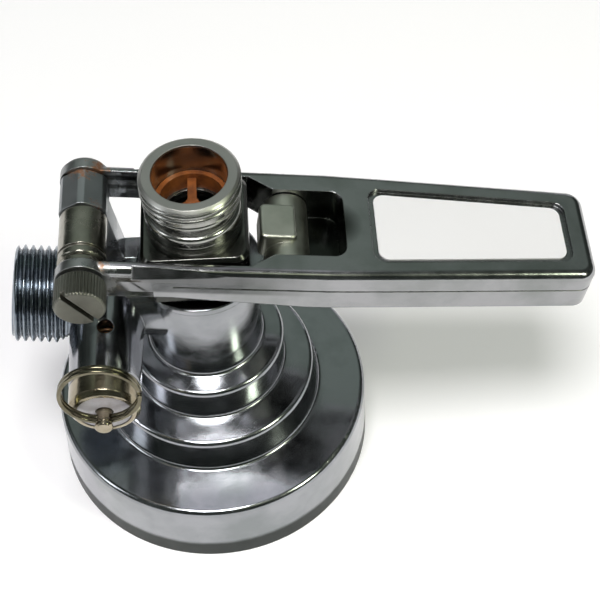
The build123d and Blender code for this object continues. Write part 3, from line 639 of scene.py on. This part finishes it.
def make_hinge_screw():
    """Knurled hinge screw with a screwdriver slot across its head."""
    place = lever_frame @ along_minus_y
    back = arm_outer + screw_neck_length
    front = back + screw_head_length
    rim = screw_head_r - 0.55
    profile = [(0.01, -arm_outer), (hinge_thread_r, -arm_outer), (hinge_thread_r, -arm_inner),
               (hinge_r, -arm_inner), (hinge_r, arm_outer), (screw_neck_r, arm_outer),
               (screw_neck_r, back), (rim, back)]
    profile += [(screw_head_r, z) for z in steps(back + 0.45, front - 0.45, 6)]
    profile += [(screw_head_r, front - 0.45), (rim, front), (rim - 0.3, front), (0.01, front)]

    def knurl(r, z, angle):
        if r < screw_head_r:
            return r
        wave = abs((angle * screw_knurls / (2 * pi)) % 1 * 2 - 1)
        return r - knurl_depth * smooth_step(0.15, 0.95, wave)

    piece = lathe("hinge_screw_knurled", profile, screw_knurls * 8, place, knurl)
    slot_turn = Matrix.Rotation(radians(-screw_slot_angle), 4, "Z")
    slot_place = place @ Matrix.Translation((0, 0, front)) @ slot_turn
    cut(piece, box_cutter((4 * screw_head_r, screw_slot_width, 2 * screw_slot_depth), slot_place))
    crease(piece, 28)
    finish_piece(piece, "handle", "dull_screw", "hinge_screw")


def make_outlet_thread():
    """Rounded helical ridge on the outlet's root, run in at both ends."""
    turns = (outlet_thread_high - outlet_thread_low) / outlet_thread_pitch
    count = int(turns * 96)
    half = outlet_thread_half
    shape = [(0.0, -half), (0.45, -0.72 * half), (0.85, -0.42 * half), (1.0, -0.12 * half),
             (1.0, 0.12 * half), (0.85, 0.42 * half), (0.45, 0.72 * half), (0.0, half)]
    points = []
    for j in range(count + 1):
        angle = 2 * pi * turns * j / count
        z = outlet_thread_low + outlet_thread_pitch * turns * j / count
        run_in = smooth_step(0, 14, min(j, count - j) + 0.5)
        rise = (outlet_thread_crest - outlet_thread_root) * run_in
        for lift, dz in shape:
            r = outlet_thread_root + rise * lift
            points.append((r * cos(angle), r * sin(angle), z + dz))
    piece = mesh_piece("outlet_thread", points, skin(count, len(shape)))
    crease(piece, 60)
    finish_piece(piece, "probe_group", "outlet_steel")


def make_relief_coil():
    """Round-wire coil of the relief valve, fixed to the coupler body."""
    place = Matrix.Translation((relief_x, 0, valve_z)) @ along_minus_y
    count, sides = coil_turns * 40, 12
    rise = coil_high - coil_low - 2 * coil_wire
    points = []
    for j in range(count + 1):
        angle = 2 * pi * coil_turns * j / count
        middle = coil_low + coil_wire + rise * j / count
        for i in range(sides):
            turn = 2 * pi * i / sides
            r = coil_r + coil_wire * cos(turn)
            points.append((r * cos(angle), r * sin(angle), middle + coil_wire * sin(turn)))
    piece = mesh_piece("relief_coil", points, skin(count, sides), place)
    finish_piece(piece, "coupler", "copper_wire", "relief_spring")
    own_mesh(piece)


def towards(azimuth, elevation):
    """Direction from the object, in degrees; azimuth 0 is the front."""
    a, e = radians(azimuth), radians(elevation)
    return Vector((sin(a) * cos(e), -cos(a) * cos(e), sin(e)))


def make_floor():
    """Wide pale floor that shows white, with the object's shadow on it."""
    half = floor_half_width
    corners = [(-half, -half, 0), (half, -half, 0), (half, half, 0), (-half, half, 0)]
    piece = mesh_piece("floor", corners, [(0, 1, 2, 3)])
    material = bpy.data.materials.new("floor_look")
    material.use_nodes = True
    graph = Graph(material.node_tree)
    shader = graph.tree.nodes["Principled BSDF"]
    shader.inputs["Base Color"].default_value = (0.90, 0.89, 0.91, 1)
    shader.inputs["Roughness"].default_value = 0.9
    shader.inputs["Specular IOR Level"].default_value = 0.1
    shader.inputs["Emission Color"].default_value = (1, 1, 1, 1)
    coords = graph.add("ShaderNodeTexCoord")
    away = graph.add("ShaderNodeVectorMath", operation="LENGTH")
    graph.join(coords.outputs["Object"], away.inputs[0])
    glow = graph.span(away.outputs["Value"], floor_near * mm, floor_far * mm, floor_glow, 1.0,
                      "SMOOTHSTEP")
    strength = graph.calc(graph.seen_directly(), glow, "MULTIPLY")
    graph.join(strength, shader.inputs["Emission Strength"])
    piece.data.materials.append(material)


def make_world():
    """White to the eye and in reflections, and a plain soft level as light."""
    world = bpy.data.worlds.new("studio")
    bpy.context.scene.world = world
    world.use_nodes = True
    graph = Graph(world.node_tree)
    graph.tree.nodes.clear()
    soft = graph.add("ShaderNodeBackground")
    soft.inputs["Color"].default_value = (0.93, 0.95, 1.0, 1)
    soft.inputs["Strength"].default_value = sky_level
    white = graph.add("ShaderNodeBackground")
    white.inputs["Color"].default_value = (1, 1, 1, 1)
    white.inputs["Strength"].default_value = 1.0
    mix = graph.add("ShaderNodeMixShader")
    graph.join(graph.seen_directly(), mix.inputs["Fac"])
    graph.join(soft.outputs[0], mix.inputs[1])
    graph.join(white.outputs[0], mix.inputs[2])
    output = graph.add("ShaderNodeOutputWorld")
    graph.join(mix.outputs[0], output.inputs["Surface"])


def canopy_look():
    """Dark cloth that shines by itself, with a soft pale panel in each place named above."""
    material = bpy.data.materials.new("canopy_look")
    material.use_nodes = True
    graph = Graph(material.node_tree)
    graph.tree.nodes.clear()
    coords = graph.add("ShaderNodeTexCoord")
    unit = graph.add("ShaderNodeVectorMath", operation="NORMALIZE")
    graph.join(coords.outputs["Object"], unit.inputs[0])
    noise = graph.add("ShaderNodeTexNoise")
    noise.inputs["Scale"].default_value = 2.6
    noise.inputs["Detail"].default_value = 3
    graph.join(unit.outputs["Vector"], noise.inputs["Vector"])
    cloth = graph.add("ShaderNodeValToRGB")
    dark, pale = cloth.color_ramp.elements
    dark.position, dark.color = 0.36, (*canopy_dark, 1)
    pale.position, pale.color = 0.66, (*canopy_pale, 1)
    graph.join(noise.outputs["Fac"], cloth.inputs["Fac"])
    colour = cloth.outputs["Color"]
    for azimuth, elevation, inner, outer, tint in canopy_panels:
        facing = graph.add("ShaderNodeVectorMath", operation="DOT_PRODUCT")
        facing.inputs[1].default_value = towards(azimuth, elevation)
        graph.join(unit.outputs["Vector"], facing.inputs[0])
        glow = graph.span(facing.outputs["Value"], cos(radians(outer)), cos(radians(inner)),
                          kind="SMOOTHSTEP")
        colour = graph.blend(glow, colour, tint)
    shine = graph.add("ShaderNodeEmission")
    shine.inputs["Strength"].default_value = 1.0
    graph.join(colour, shine.inputs["Color"])
    output = graph.add("ShaderNodeOutputMaterial")
    graph.join(shine.outputs[0], output.inputs["Surface"])
    return material


def make_canopy():
    """Dark studio canopy over the object, seen only in its shine, with soft pale panels on it."""
    rows, columns, radius = 24, 48, canopy_radius
    low = radians(canopy_low)
    points = [(0, 0, radius)]
    for i in range(1, rows + 1):
        e = pi / 2 - (pi / 2 - low) * i / rows
        for j in range(columns):
            a = 2 * pi * j / columns
            points.append((radius * cos(e) * cos(a), radius * cos(e) * sin(a), radius * sin(e)))
    faces = [(0, 1 + j, 1 + (j + 1) % columns) for j in range(columns)]
    for i in range(rows - 1):
        top, below = 1 + i * columns, 1 + (i + 1) * columns
        for j in range(columns):
            k = (j + 1) % columns
            faces.append((top + j, below + j, below + k, top + k))
    piece = mesh_piece("canopy", points, faces)
    piece.visible_camera = False
    piece.visible_diffuse = False
    piece.visible_shadow = False
    piece.data.materials.append(canopy_look())


def area_light(name, azimuth, elevation, distance, size, power, colour=(1, 1, 1)):
    """Soft lamp that looks at the object from a place in degrees."""
    lamp = bpy.data.lights.new(name, "AREA")
    lamp.shape = "RECTANGLE"
    lamp.size = size[0]
    lamp.size_y = size[1]
    lamp.energy = power
    lamp.color = colour
    piece = show(name, lamp)
    offset = towards(azimuth, elevation) * distance
    target = Vector(lamp_target) * mm
    piece.location = target + offset
    piece.rotation_euler = offset.to_track_quat("Z", "Y").to_euler()


def make_lights():
    """Broad lamp from the front and above, and a weak one on each side."""
    area_light("key", -12, 74, 0.9, (0.30, 0.24), 6.2, (1.0, 0.99, 0.97))
    area_light("right", 58, 42, 0.9, (0.16, 0.26), 2.2, (0.93, 1.0, 0.74))
    area_light("left", -72, 34, 1.0, (0.18, 0.4), 1.0, (0.95, 0.97, 1.0))


def make_camera():
    """Camera at the photograph's place, turn and lens."""
    yaw, pitch, roll = radians(camera_yaw), radians(camera_pitch), radians(camera_roll)
    forward = Vector((sin(yaw) * cos(pitch), cos(yaw) * cos(pitch), -sin(pitch)))
    level = Vector((cos(yaw), -sin(yaw), 0))
    upright = level.cross(forward)
    right = cos(roll) * level + sin(roll) * upright
    up = cos(roll) * upright - sin(roll) * level
    data = bpy.data.cameras.new("camera")
    data.sensor_width = sensor_width
    data.lens = camera_focal_px / photo_width * sensor_width
    data.shift_x = (photo_width / 2 - camera_centre_px[0]) / photo_width
    data.shift_y = (camera_centre_px[1] - photo_width / 2) / photo_width
    data.clip_start = 0.01
    camera = show("camera", data)
    turn = Matrix((right, up, -forward)).transposed().to_4x4()
    camera.matrix_world = Matrix.Translation(Vector(camera_place) * mm) @ turn
    bpy.context.scene.camera = camera


dress_nodes()
make_nipple()
make_hinge_screw()
make_outlet_thread()
make_relief_coil()
make_floor()
make_world()
make_canopy()
make_lights()
make_camera()

bpy.context.scene.view_settings.view_transform = "Standard"
